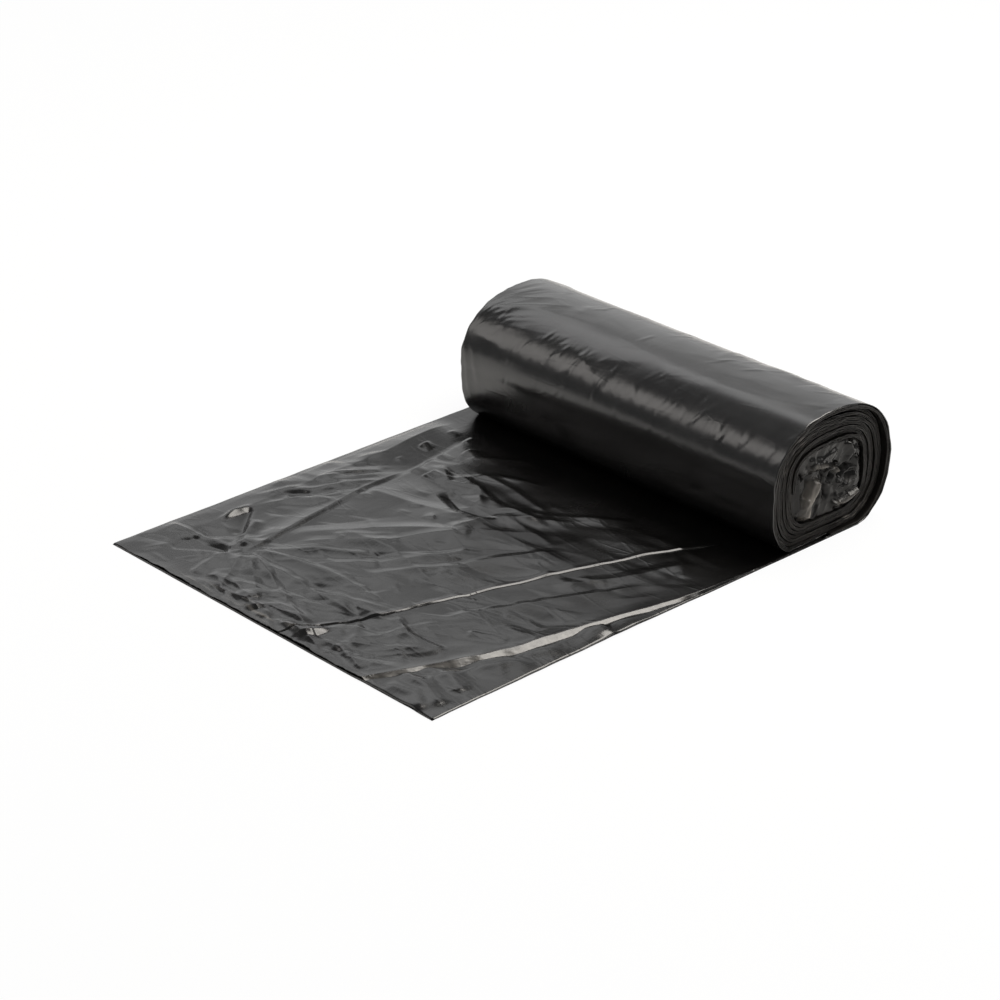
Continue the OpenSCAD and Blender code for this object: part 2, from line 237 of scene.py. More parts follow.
def scatter(x, y, seed, count, area, slants, lengths, slopes, widths):
    """Many short chance creases, each nearly straight, with a steep flank and a slack one."""
    rng = np.random.default_rng(seed)
    height = np.zeros(np.shape(x))
    for _ in range(count):
        cx, cy = rng.uniform(area[0], area[1]), rng.uniform(area[2], area[3])
        slant = math.radians(rng.normal(*slants[rng.integers(len(slants))]))
        half = rng.uniform(*lengths) / 2
        c, s = math.cos(slant), math.sin(slant)
        px, py = x - cx, y - cy
        t = (px * c + py * s) / half
        d = py * c - px * s - rng.normal(0, 0.06) * half * t * t
        w = rng.uniform(*widths)
        rise = rng.uniform(*slopes) * w / 1.5 * rng.choice([-1, 1, 1])
        left, right = w, w * rng.uniform(1.6, 3.4)
        # most ridges have their slack flank towards the camera, from which the left side faces away by this
        away = 0.73 * s + 0.68 * c
        if (rise * away > 0) == (rng.random() < 0.15):
            left, right = right, left
        height += rise * ease(1.2 * (1 - np.abs(t))) * flank(d, left, right)
    return height


# The wound outline

def squircle(angle, half_w, half_h, square):
    """A point of a rounded outline, at an angle in degrees from its middle."""
    c, s = np.cos(np.radians(angle)), np.sin(np.radians(angle))
    r = 1 / ((np.abs(c) / half_w) ** square + (np.abs(s) / half_h) ** square) ** (1 / square)
    return np.stack([r * c, r * s])


def outside(angle):
    """The roll's outer surface as [Y, Z], at an angle from the back, 90 degrees on top and 180 in front."""
    c, s = np.cos(np.radians(angle)), np.sin(np.radians(angle))
    wound_share = ((angle + 90) % 360) / 360
    step_w = (ROLL_W - HOLLOW_W) / 2 / TURNS
    step_h = (ROLL_H / 2 + HOLLOW_DROP - HOLLOW_H / 2) / TURNS
    top = np.where(c < 0, SQUARE_TOP_FRONT, SQUARE_TOP_BACK)
    low = np.where(c < 0, SQUARE_LOW_FRONT, SQUARE_LOW_BACK)
    pressed = np.where(s < 0, PRESS, 0.0)
    half_w = ROLL_W / 2 + wound_share * step_w
    half_h = ROLL_H / 2 + wound_share * step_h + pressed
    p = squircle(angle, half_w, half_h, np.where(s >= 0, top, low))
    lean = LEAN * np.maximum(0, p[1]) / (ROLL_H / 2)
    return np.stack([TAIL + p[0] - lean, np.maximum(0, ROLL_H / 2 + p[1])])


def hollow(angle):
    """The wall of the collapsed hollow as [Y, Z]."""
    p = squircle(angle, HOLLOW_W / 2, HOLLOW_H / 2, SQUARE_HOLLOW)
    return np.stack([TAIL + p[0], ROLL_H / 2 - HOLLOW_DROP + p[1]])


def turn_angle(turn):
    """The angle at which the film is after so many turns, counted from the hollow outwards."""
    return 360 * (TURNS - turn) - 90


def wound(turn, share, out):
    """A point of a turn: its share of the web's thickness, and how far it stands out from there."""
    angle = turn_angle(turn)
    inner, outer = hollow(angle), outside(angle)
    depth = np.hypot(*(outer - inner))
    start = (turn - 1) / TURNS + TURN_GAP / depth
    return mix(inner, outer, mix(start, turn / TURNS, share)) + (outer - inner) / depth * out


def settle(x, z):
    """The whole roll is a little lower towards its left end."""
    return z * (1 - (TAPER / ROLL_H) * (1 - x / WEB_W))


def left_edge(turn):
    """Where a turn's left edge is: the outer turn lies in, and the turns inside it step outwards."""
    inward = TURNS - turn
    drawn_in = LEFT_INSET * ease(inward / INSET_TURNS)
    stepped = np.maximum(-LEFT_PROUD, LEFT_INSET - LEFT_STEP * (inward - INSET_TURNS))
    return np.where(inward < INSET_TURNS, drawn_in, stepped)


def right_edge(turn):
    """Where a turn's right edge is: the inner turns lie back a little, unevenly."""
    inward = TURNS - turn
    back = RIGHT_INSET * ease((inward - INSET_TURNS) / INSET_TURNS)
    wander = RIGHT_WANDER / 2 * (1 - np.cos(2 * np.pi * WANDER_WAVES * inward))
    return WEB_W - back - np.where(back > 0, wander, 0)


# Sheets of film

def new_object(name, data):
    thing = bpy.data.objects.new(name, data)
    bpy.context.collection.objects.link(thing)
    return thing


def laid_film(name, columns, rows, shape, finish):
    """A flat grid of film, u across the web and v along it. `shape` gives points, web places and any paler
    marks: film stretched white and painted light.
    """
    bm = bmesh.new()
    bm.loops.layers.uv.new("web")
    bmesh.ops.create_grid(bm, x_segments=columns - 1, y_segments=rows - 1, size=0.5, calc_uvs=True)
    mesh = bpy.data.meshes.new(name)
    bm.to_mesh(mesh)
    bm.free()
    flat = np.empty(len(mesh.vertices) * 3)
    mesh.vertices.foreach_get("co", flat)
    flat = flat.reshape(-1, 3)
    points, web, *whitening_and_light = shape(flat[:, 0] + 0.5, flat[:, 1] + 0.5)
    mesh.vertices.foreach_set("co", points.ravel())
    corners = np.empty(len(mesh.loops), dtype=np.int32)
    mesh.loops.foreach_get("vertex_index", corners)
    mesh.uv_layers["web"].data.foreach_set("uv", (web[corners] / 1000).ravel())
    if whitening_and_light:
        mesh.attributes.new("whitening_and_light", "FLOAT", "POINT").data.foreach_set("value", whitening_and_light[0])
    mesh.shade_smooth()
    mesh.update()
    piece = new_object(name, mesh)
    mesh.materials.append(finish)
    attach(piece, "root")
    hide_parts("bag_roll")
    return piece


def film_sheet(name, columns, rows, shape, thickness, finish, side=-1.0):
    """Film with its thickness in millimetres, inwards from the grid, or to both sides where side is 0."""
    wall = laid_film(name, columns, rows, shape, finish).modifiers.new("film", "SOLIDIFY")
    wall.thickness = thickness / 1000
    wall.offset = side


def film_slab(name, columns, rows, shape, finish, under=0.32):
    """Film that lies on other film: a fine top, and a plain underside that is tucked in at the front."""
    # in metres: how deep the front reaches, the height that isn't lifted, and how far the underside goes in
    front = low_corner[1] + 0.012
    resting = 0.0007
    tucked = 0.003
    piece = laid_film(name, columns, rows, shape, finish)
    bm = bmesh.new()
    bm.from_mesh(piece.data)
    rim = [edge for edge in bm.edges if edge.is_boundary]
    made = bmesh.ops.extrude_edge_only(bm, edges=rim)["geom"]
    for vert in made:
        if isinstance(vert, bmesh.types.BMVert):
            lifted = max(0.0, vert.co.z - resting)
            if vert.co.y < front:
                vert.co.y += min(tucked, 2.2 * lifted)
            vert.co.z = under / 1000
    bmesh.ops.edgeloop_fill(bm, edges=[edge for edge in bm.edges if edge.is_boundary])
    bmesh.ops.recalc_face_normals(bm, faces=bm.faces)
    bm.to_mesh(piece.data)
    bm.free()
    piece.data.shade_smooth()


# Finishes

# Blender's Mix node has a factor, and its own pair of inputs and output for numbers and for colours
MIX_FACTOR = 0
NUMBER_A, NUMBER_B, NUMBER_OUT = 2, 3, 0
COLOR_A, COLOR_B, COLOR_OUT = 6, 7, 2

# Colours of the film, its edges and the crumple, where deep and where dull, and the pale of stretched film
# and painted highlights
FILM_DEEP = (0.0014, 0.0014, 0.0014)
FILM_DULL = (0.0036, 0.0033, 0.0031)
EDGE_DEEP = (0.0024, 0.0023, 0.0022)
EDGE_DULL = (0.010, 0.009, 0.0082)
CRUMPLE_DEEP = (0.0018, 0.0018, 0.0018)
STRETCHED_AND_LIT_WHITE = (0.34, 0.315, 0.285)


def add_node(tree, kind, inputs=None, **settings):
    """A new node with its settings, and with values or other nodes' outputs in its inputs."""
    node = tree.nodes.new("ShaderNode" + kind)
    for setting, value in settings.items():
        setattr(node, setting, value)
    for socket, value in (inputs or {}).items():
        if isinstance(value, bpy.types.NodeSocket):
            tree.links.new(value, node.inputs[socket])
        else:
            node.inputs[socket].default_value = value
    return node


def ramp(tree, value, start, end, first=0.0, last=1.0, kind="LINEAR"):
    """Runs from `first` to `last` while the value runs from `start` to `end`."""
    node = add_node(tree, "MapRange", {"Value": value, "From Min": start, "From Max": end, "To Min": first,
                                       "To Max": last}, interpolation_type=kind)
    return node.outputs["Result"]


def film_texture():
    """Height of drawn film, for a bump: lines, crinkles and thin creases, with a mask of duller patches."""
    group = bpy.data.node_groups.new("film_texture", "ShaderNodeTree")
    face = group.interface
    face.new_socket("Web", in_out="INPUT", socket_type="NodeSocketVector")
    for socket in ("Crinkle size", "Line share", "Crease share"):
        face.new_socket(socket, in_out="INPUT", socket_type="NodeSocketFloat")
    for socket in ("Height", "Dull"):
        face.new_socket(socket, in_out="OUTPUT", socket_type="NodeSocketFloat")
    start, end = group.nodes.new("NodeGroupInput"), group.nodes.new("NodeGroupOutput")
    web = start.outputs["Web"]

    def waves(size, detail, roughness, stretch=(1.0, 1.0, 1.0), distortion=0.0):
        mapping = add_node(group, "Mapping", {"Vector": web, "Scale": stretch})
        noise = add_node(group, "TexNoise", {"Vector": mapping.outputs["Vector"], "Scale": size,
                                             "Detail": detail, "Roughness": roughness,
                                             "Distortion": distortion})
        return noise.outputs["Fac"]

    # fine lines along the web, and soft crinkles
    lines = waves(700.0, 2.0, 0.5, (1.0, 0.03, 1.0))
    crinkle = waves(start.outputs["Crinkle size"], 3.0, 0.55, (1.0, 0.7, 1.0), 0.6)
    ridge = add_node(group, "Math", {0: crinkle, 1: 0.5}, operation="PINGPONG")
    blend = add_node(group, "Mix", {MIX_FACTOR: start.outputs["Line share"], NUMBER_A: ridge.outputs[0],
                                    NUMBER_B: lines}, data_type="FLOAT")
    height = blend.outputs[NUMBER_OUT]
    # two families of thin creases: their slant in degrees, cells to a metre, and how narrow the cells are
    for slant, size, narrow in ((40.0, 26.0, 2.6), (-6.0, 34.0, 3.0)):
        mapping = add_node(group, "Mapping", {"Vector": web, "Rotation": (0.0, 0.0, math.radians(-slant)),
                                              "Scale": (1.0, narrow, 1.0)})
        cells = add_node(group, "TexVoronoi", {"Vector": mapping.outputs["Vector"], "Scale": size},
                         feature="DISTANCE_TO_EDGE")
        thin = ramp(group, cells.outputs["Distance"], 0.0, 0.06, 1.0, 0.0, "SMOOTHSTEP")
        some = ramp(group, waves(size * 0.9, 1.0, 0.5), 0.48, 0.62)
        crease = add_node(group, "Math", {0: thin, 1: some}, operation="MULTIPLY")
        raised = add_node(group, "Math", {0: crease.outputs[0], 1: start.outputs["Crease share"], 2: height},
                          operation="MULTIPLY_ADD")
        height = raised.outputs[0]
    group.links.new(height, end.inputs["Height"])
    group.links.new(waves(28.0, 4.0, 0.6, (1.0, 0.6, 1.0)), end.inputs["Dull"])
    return group


FILM_TEXTURE = film_texture()


def film(name, deep, dull, ior, gloss, haze, crinkle, lines, bump_mm, creases):
    """Black polyethylene film: two close blacks, a roughness from `gloss` to `haze`, and its fine relief."""
    material = bpy.data.materials.new(name)
    material.use_nodes = True
    tree = material.node_tree
    web = add_node(tree, "UVMap", uv_map="web")
    texture = add_node(tree, "Group", node_tree=FILM_TEXTURE, inputs={
        "Web": web.outputs["UV"], "Crinkle size": crinkle, "Line share": lines, "Crease share": creases})
    patches = texture.outputs["Dull"]
    tone = add_node(tree, "Mix", {MIX_FACTOR: patches, COLOR_A: (*deep, 1), COLOR_B: (*dull, 1)},
                    data_type="RGBA")
    # paler where the attribute says so: film stretched white, and painted highlights and streaks of light
    whitening_and_light = add_node(tree, "Attribute", attribute_name="whitening_and_light")
    whitened_and_lit = add_node(tree, "Mix", {MIX_FACTOR: whitening_and_light.outputs["Fac"], COLOR_A: tone.outputs[COLOR_OUT],
                                      COLOR_B: (*STRETCHED_AND_LIT_WHITE, 1)}, data_type="RGBA")
    relief = add_node(tree, "Bump", {"Strength": 1.0, "Distance": bump_mm / 1000,
                                     "Height": texture.outputs["Height"]})
    shader = tree.nodes["Principled BSDF"]
    shader.inputs["IOR"].default_value = ior
    tree.links.new(whitened_and_lit.outputs[COLOR_OUT], shader.inputs["Base Color"])
    tree.links.new(ramp(tree, patches, 0.3, 0.7, gloss, haze), shader.inputs["Roughness"])
    tree.links.new(relief.outputs["Normal"], shader.inputs["Normal"])
    return material


film_lying = film("film_lying", FILM_DEEP, FILM_DULL, ior=1.46, gloss=0.17, haze=0.29,
                  crinkle=160.0, lines=0.4, bump_mm=0.10, creases=0.5)
film_wound = film("film_wound", FILM_DEEP, FILM_DULL, ior=1.66, gloss=0.19, haze=0.28,
                  crinkle=150.0, lines=0.4, bump_mm=0.06, creases=0.4)
film_turns = film("film_turns", EDGE_DEEP, EDGE_DULL, ior=1.31, gloss=0.24, haze=0.42,
                  crinkle=220.0, lines=0.5, bump_mm=0.12, creases=0.0)
film_crumple = film("film_crumple", CRUMPLE_DEEP, EDGE_DULL, ior=1.38, gloss=0.18, haze=0.32,
                    crinkle=240.0, lines=0.2, bump_mm=0.2, creases=0.0)


# The free end. Folds are listed as their path, which is given as distances from the left and the front edge,
# their rise, and how far their flanks reach to the path's left and right

LYING_FOLDS = [
    # the fan of ridges beside the smooth strip
    ([(16, 97), (27, 114), (42, 138)], 1.5, 4.0, 12.0),
    ([(24, 101), (33, 109), (45, 121)], 0.9, 3.5, 10.0),
    ([(15, 112), (21, 128), (31, 148)], 0.9, 4.0, 10.0),
    ([(19, 90), (32, 98), (46, 106)], 0.6, 4.0, 10.0),
    # the star and what runs from it
    ([(1, 32), (22, 35), (50, 38)], 1.1, 3.4, 14.0),
    ([(55, 37), (96, 38), (146, 35)], 0.9, 4.0, 14.0),
    ([(52, 40), (47, 26), (50, 6)], 0.8, 13.0, 3.4),
    ([(54, 40), (78, 33), (108, 21), (132, 12)], 1.1, 3.4, 15.0),
    ([(55, 39), (74, 27), (98, 10)], 1.1, 3.6, 14.0),
    ([(54, 38), (62, 24), (74, 6)], 0.9, 4.0, 13.0),
    ([(54, 40), (76, 62), (103, 80)], 1.0, 4.4, 12.0),
    ([(54, 41), (72, 48), (104, 53), (140, 52)], 1.0, 3.6, 11.0),
    ([(50, 40), (38, 52), (30, 66)], 1.1, 5.0, 6.0),
    # the small triangular fold and the dark facet
    ([(17, 72), (26, 61), (37, 49)], -1.5, 3.0, 8.0),
    ([(21, 19), (34, 28), (47, 36)], -2.6, 11.0, 4.0),
    # wrinkles before the roll
    ([(40, 167), (70, 168), (100, 160), (136, 161)], 1.4, 4.0, 8.0),
    ([(44, 172), (64, 160), (80, 166), (98, 150)], 1.3, 4.0, 6.0),
    ([(70, 152), (90, 144), (116, 148)], -1.7, 12.0, 6.0),
    ([(106, 118), (111, 148), (142, 178)], 1.4, 6.0, 11.0),
    ([(98, 152), (120, 166), (143, 186), (158, 202)], 1.3, 5.0, 9.0),
    ([(48, 184), (62, 200), (78, 219)], 1.2, 5.0, 8.0),
    ([(60, 178), (92, 178), (126, 171)], 1.0, 4.0, 6.0),
    # long soft ones across the middle
    ([(62, 60), (96, 92), (118, 132)], 0.9, 6.0, 18.0),
    ([(84, 50), (116, 84), (132, 120)], 0.7, 5.0, 14.0),
    ([(70, 84), (104, 88), (146, 80)], 0.7, 7.0, 9.0),
    ([(112, 62), (136, 98), (158, 150)], 1.0, 5.0, 16.0),
    # between the seam and the flap
    ([(150, 48), (168, 41), (192, 43)], 1.2, 4.0, 12.0),
    ([(184, 62), (195, 68), (204, 69)], 0.7, 4.0, 6.0),
    ([(182, 86), (194, 91), (206, 89)], 0.6, 4.0, 5.0),
    ([(166, 60), (186, 104), (206, 156)], 1.1, 4.4, 15.0),
    ([(178, 120), (194, 152), (206, 188)], 0.8, 6.0, 8.0),
    ([(190, 190), (202, 184), (214, 172)], 0.5, 5.0, 6.0),
    # low streaks along the front hem
    ([(56, 12), (76, 15), (96, 10)], 1.0, 9.0, 3.6),
    ([(70, 7), (92, 9), (112, 4)], 0.9, 6.0, 3.2),
    ([(100, 13), (120, 15), (142, 9)], 1.0, 8.0, 3.6),
    ([(118, 6), (134, 8), (150, 3)], 0.8, 5.0, 3.0),
    ([(150, 12), (164, 10), (178, 4)], 0.9, 6.0, 3.2),
]

# Stiff little folds that face the light on the right
STIFF_FOLDS = [
    ([(17.5, 50), (16, 62), (15.5, 75)], 2.1, 3.0, 3.2),
    ([(92, -1), (100, 8), (104, 18)], 1.3, 7.0, 3.2),
    ([(129, -1), (136, 10), (140, 25)], 1.9, 8.0, 3.4),
]

# Folds of the lowest plies, where they show bare beside the flap and at the front
LOWER_FOLDS = [
    ([(190, 16), (207, 17), (226, 11)], 1.6, 6.0, 9.0),
    ([(190, 26), (206, 31), (223, 25)], 1.3, 8.0, 6.0),
    ([(192, 6), (209, 9), (221, 2)], 1.3, 5.0, 6.0),
    ([(204, 44), (214, 60), (224, 86)], 0.9, 6.0, 8.0),
    ([(213, 96), (221, 112), (231, 111)], 0.9, 3.0, 5.0),
    ([(204, 36), (215, 66), (220, 96), (225, 140)], 1.1, 3.0, 14.0),
    ([(198, 12), (208, 36), (222, 70)], 0.9, 3.0, 16.0),
]

# Batches of chance creases: seed, count, area, slants with their spread, lengths, slopes and widths
CHANCE_CREASES = [
    (52, 34, (4, 226, 4, 200), [(44, 9), (8, 9)], (60, 150), (0.10, 0.20), (5, 11)),
    (53, 36, (4, 226, 4, 190), [(40, 12), (10, 10)], (34, 90), (0.08, 0.20), (3, 6)),
    (54, 34, (40, 186, 0, 44), [(-30, 8), (16, 10)], (26, 74), (0.14, 0.34), (2.4, 5.5)),
    (55, 12, (4, 62, 0, 62), [(0, 12), (62, 12)], (20, 46), (0.12, 0.28), (2.4, 5)),
    (56, 14, (34, 130, 142, 190), [(-2, 12), (36, 12)], (16, 60), (0.25, 0.55), (2.0, 5)),
    (57, 16, (148, 216, 20, 200), [(60, 8), (12, 10)], (30, 90), (0.10, 0.26), (3, 7)),
    (58, 14, (13, 52, 88, 170), [(54, 7)], (24, 60), (0.18, 0.42), (2.0, 5)),
    (151, 90, (16, 204, 4, 150), [(44, 14), (6, 14), (-28, 12)], (7, 30), (0.10, 0.24), (1.3, 2.8)),
]

# Places where the film lies calm: their middle and reach
CALM_PLACES = [(62, 34, 34), (91, 34, 18), (184, 44, 14), (141, 112, 20), (18, 112, 18)]


def at(line, y):
    return np.interp(y, line[:, 0], line[:, 1])


def before_roll(y):
    """1 over the free end, and down to 0 where the plies run in under the roll."""
    return ease((NIP + 2 - y) / 26)


def folded_under(y):
    """1 where the flap's edge is folded under, and down to 0 where the flap has run off the right edge."""
    return ease((176 - y) / 30)


def drawn_tight(y):
    """0 at the front, where the seam is slack, and up to 1 further back, where it is drawn tight."""
    return ease((y - 30) / 50)


def slack(x, y):
    """Slow swells of the loose plies, which lie puffed in the middle and come down to the roll."""
    quiet = ease((NIP - y) / 25)
    puffed = PUFF * ease(y / TAIL / 0.31) * ease((NIP - y) / TAIL / 0.42)
    puffed = puffed * ease((x / WEB_W - 0.03) / 0.26) * ease((1 - x / WEB_W) / 0.48)
    # the swell in which the film mirrors the light
    puffed = puffed + 1.8 * spot(x, y, 112, 116, 46)
    uneven = 0.6 * rough(11, x / 62 + 3.1, y / 48) + 0.5 * rough(12, x / 32, y / 30 + 7.7) + 0.5
    return puffed + quiet * uneven


def lying_creases(x, y):
    """Everything that the upper plies' surface does between the long folds."""
    wx = x + 0.5 * rough(21, x / 24, y / 24)
    wy = y + 0.5 * rough(22, x / 24 + 9, y / 24)
    h = np.zeros(np.shape(x))
    for path, rise, left, right in LYING_FOLDS:
        h += fold(wx, wy, path, rise, left, right)
    # the fan's ridges run out low beside the strip
    h *= 1 - 0.75 * spot(x, y, 19, 109, 13)
    for path, rise, left, right in STIFF_FOLDS:
        h += tent(wx, wy, path, rise, left, right, 0.5)
    calm = 1 - 0.6 * ease((y - 132) / 30)
    for middle_x, middle_y, reach in CALM_PLACES:
        calm = calm * (1 - 0.8 * spot(x, y, middle_x, middle_y, reach))
    h *= 1 - 0.35 * ease((y - 140) / 30)
    busy = 0.3 + 0.7 * ease(0.5 + 0.9 * rough(31, x / 46, y / 46))
    h -= 0.034 * busy * calm * facets(41, wx, wy, 42, 96, 30)
    for batch in CHANCE_CREASES:
        h += calm * scatter(wx, wy, *batch)
    return h


def lying_rows(v):
    """Distance from the front edge, with more rows at the front."""
    return (TAIL + UPPER_PAST) * mix(v, v * v, 0.3)


def upper_height(x, y):
    """Height of the upper plies above the ground, with their long folds."""
    flap, strip, crease = at(FLAP_LINE, y), at(STRIP_LINE, y), at(CREASE_LINE, y)
    near_crease = bump((x - crease) / 9) * ease((y - 44) / 10) * ease((160 - y) / 14)
    off_flap = 0.15 + 0.85 * ease((np.abs(x - flap) - 1) / 12)
    h = slack(x, y) + (1 - 0.7 * near_crease) * lying_creases(x, y) * off_flap
    # the smooth strip's fold, which falls off more steeply beside the dark band before the roll
    strip = strip + 0.5 * rough_line(66, y / 20)
    beside = ease((y - 136) / 20) * ease((NIP + 4 - y) / 16)
    stands = (1.15 + 0.8 * beside) * STRIP * at(STRIP_FADE, y)
    reach = mix(24.0, np.maximum(crease - strip + 2, 9), beside)
    h *= 1 - 0.8 * beside * ease((x - strip + 5) / 8) * ease((crease + 4 - x) / 5)
    h += stands * np.where(x < strip, x / strip, np.maximum(0, 1 - (x - strip) / reach) ** 1.1)
    # short steep ridges in and beside that band
    for seed, ridge, rise, slope in [
        (65, mix(strip, crease, 0.45), 1.2, 6.0),
        (67, crease + 3, 1.2, 9.0),
        (70, crease + 13, 1.4, 12.0),
    ]:
        d = x - ridge - 0.8 * rough_line(seed, y / 14)
        tooth = np.maximum(0, 1 - np.abs(d) / np.where(d < 0, 1.6, slope))
        h += beside * rise * ease(2.0 * rough_line(seed, y / 11 + 5)) * tooth
    # the long pressed crease
    d = x - crease
    pressed = ease((y - 36) / 10) * ease((164 - y) / 20)
    steep_side = np.maximum(0, 1 - d / CREASE_STEEP)
    h += pressed * 1.05 * np.where(d < 0, np.maximum(0, 1 + d / 15) ** 1.6, steep_side)
    # the plies lie close at the left edge, at the front and under the roll
    h *= ease(0.25 + x / 7) * ease(0.38 + y / 15) * before_roll(y)
    hem = 0.45 * np.exp(-y / 6) * at(HEM_LINE, x)
    swollen = (0.6 + 1.6 * bump((y - 66) / 110)) * folded_under(y)
    swollen = swollen * np.exp(-np.abs(x - flap) / 9) * before_roll(y)
    return UPPER_PLIES + np.maximum(h, -0.1 * ease(y / 10)) + hem + swollen


def front_edge(x, y):
    """The front edge is cut a little unevenly."""
    cut = 0.3 + 1.1 * np.abs(rough_line(64, x / 15)) + 0.5 * np.abs(rough_line(59, x / 4))
    return y + cut * ease(1 - y / 12)


def seam_place(y):
    return at(SEAM_LINE, y) + 0.3 * rough_line(68, y / 34)


def seam_rise(y):
    rise = mix(0.72, 0.52, drawn_tight(y)) * ease((y - 2) / 90 + 0.25)
    return rise * before_roll(y) * (0.8 + 0.4 * rough_line(69, y / 12))


def columns_between(u, knots):
    """Columns shared out so that some of them follow the long folds: knots are (share, X) pairs."""
    x = knots[0][1]
    for (low, start), (high, end) in zip(knots, knots[1:]):
        x = np.where(u >= low, mix(start, end, (u - low) / (high - low)), x)
    return x


def main_film(u, v):
    """The upper plies from the left edge to the long seam, and down the seam's steep side."""
    y = lying_rows(v)
    left = 0.25 + 0.3 * rough_line(63, y / 14)
    seam, crease = seam_place(y), at(CREASE_LINE, y)
    steep = mix(0.7, 1.2, drawn_tight(y))
    x = columns_between(u, [(0, left), (0.06, at(STRIP_LINE, y)), (0.21, crease - 3.2), (0.235, crease),
                            (0.256, crease + CREASE_STEEP), (0.98, seam), (1.0, seam + steep)])
    d = x - seam
    rise = seam_rise(y)
    low = 0.2 * before_roll(y)
    slack_side = rise * (0.75 * flank(d, 1, 3.0) + 0.25 * flank(d, 1, 14))
    steep_side = rise - (rise + low) * np.clip(d / steep, 0, 1)
    h = upper_height(x, y) + np.where(d < 0, slack_side, steep_side)
    # film stretched white in streaks along the front hem, partly a painted highlight on its creased patches
    hem = bump((x - 102) / 48) * bump((y - 5) / 5.5) + 0.7 * bump((x - 60) / 26) * bump((y - 4) / 4)
    whitening_and_light = 0.34 * hem * ease(0.1 + 1.1 * rough(152, x / 13 - y / 5, y / 2.2 + x / 30))
    return place(x, front_edge(x, y), h + MAIN_ABOVE), np.stack([x, y], axis=-1), np.clip(whitening_and_light, 0, 1)


def flap_film(u, v):
    """The upper plies from the seam to the flap's crest, and down the flap's folded edge."""
    y = lying_rows(v)
    under = folded_under(y)
    flap = at(FLAP_LINE, y) + 0.7 * rough_line(61, y / 11) * ease((200 - y) / 40)
    crest = upper_height(flap, y)
    foot = 0.46 + 0.15 * (1 + rough_line(60, y / 12)) * under
    edge_w = 0.5 + under * np.maximum(crest - foot, 0.2) / 0.58 * (1 + 0.12 * rough_line(62, y / 12))
    down = np.clip((u - FLAP_TOP) / (1 - FLAP_TOP), 0, 1)
    start = seam_place(y) + 0.5
    x = np.where(u < FLAP_TOP, mix(start, flap, u / FLAP_TOP), flap + edge_w * down)
    # beside the seam the film is held down
    z = upper_height(x, y) - 0.22 * ease(1 - (x - seam_place(y)) / 8) * before_roll(y)
    crossed = 0.07 * under * np.sin(np.pi * down) * (0.6 - facets(49, y, x - flap, 12, 6, 2.2))
    z = np.where(down > 0, mix(crest, np.minimum(foot, crest), down) + crossed, z)
    # the folded edge is painted paler: partly film whitened at the fold, partly a painted highlight along the
    # edge
    patches = 0.7 + 0.5 * rough(48, y / 2.4, (x - flap) / 2.5 + y / 9)
    whitening_and_light = 0.24 * under * np.sin(np.pi * down) ** 0.5 * (down > 0) * patches
    z = np.maximum(z, FLAP_FLOOR)
    return place(x, front_edge(x, y), z), np.stack([x, y], axis=-1), np.clip(whitening_and_light, 0, 1)


def lower_film(u, v):
    """The lowest plies, whole from edge to edge, which show bare beside the flap and at the front."""
    x, y = u * WEB_W, v * (TAIL + LOWER_PAST)
    bare = ease((x - at(FLAP_LINE, y) + 8) / 12) * ease((178 - y) / 20)
    h = 0.22 + 0.12 * rough(71, x / 20, y / 24)
    wx, wy = x + 0.5 * rough(72, x / 20, y / 20), y + 0.5 * rough(73, x / 20 + 5, y / 20)
    lift = np.zeros(np.shape(x))
    for path, rise, left, right in LOWER_FOLDS:
        lift += fold(wx, wy, path, rise, left, right)
    lift += scatter(wx, wy, 74, 16, (182, 230, 0, 130), [(-8, 16), (64, 12)], (20, 50), (0.08, 0.22), (3, 7))
    lift -= 0.03 * facets(75, wx, wy, 20, 34, 14)
    h += bare * np.maximum(lift + 0.6, 0)
    # the lowest plies lie close at their edges and under the roll
    edges = ease(0.55 + np.minimum(x, WEB_W - x) / 12) * ease(0.4 + y / 4)
    h *= edges * ease((NIP + 10 - y) / 20) * 0.9 + 0.1
    return place(x, y, LOWER_FLOOR + np.maximum(h, 0)), np.stack([x, y], axis=-1)


# The roll. Gathers are listed as folds are, but with distances along the roll and angles round it

GATHERS = [
    ([(12, 150), (24, 124), (63, 69)], 0.6, 2.0, 2.6),
    ([(12, 147), (30, 110), (90, 96)], 0.5, 2.4, 3.0),
    ([(11, 148), (16, 128), (24, 104), (40, 74)], 0.5, 1.6, 1.8),
    ([(10, 144), (13, 122), (18, 96), (26, 66)], 0.45, 1.4, 1.6),
    ([(9, 142), (11, 116), (14, 88), (18, 50)], 0.35, 1.2, 1.6),
    ([(13, 150), (27, 138), (52, 132)], 0.6, 1.8, 2.4),
    ([(13, 152), (24, 152), (40, 158)], 0.5, 1.8, 2.4),
    ([(13, 152), (19, 168), (24, 192)], 0.5, 1.4, 2.0),
    ([(11, 156), (14, 176), (16, 206)], 0.6, 1.2, 1.8),
    ([(150, 104), (178, 92), (214, 88)], 0.35, 2.2, 3.2),
    ([(120, 96), (150, 80), (196, 60)], 0.3, 2.4, 3.2),
    ([(196, 106), (214, 98), (229, 84)], 0.4, 1.8, 2.2),
    ([(158, 118), (186, 108), (220, 102)], 0.3, 1.8, 2.4),
]
# What all the gathers' rises and reaches are multiplied by
GATHER_RISE = 0.34
GATHER_LEFT = 2
GATHER_RIGHT = 2.4

# Short wrinkles: seed, count, and the angle round the roll about which they lie, with its spread
WRINKLES = [(87, 150, 148, 8), (93, 110, 32, 24)]
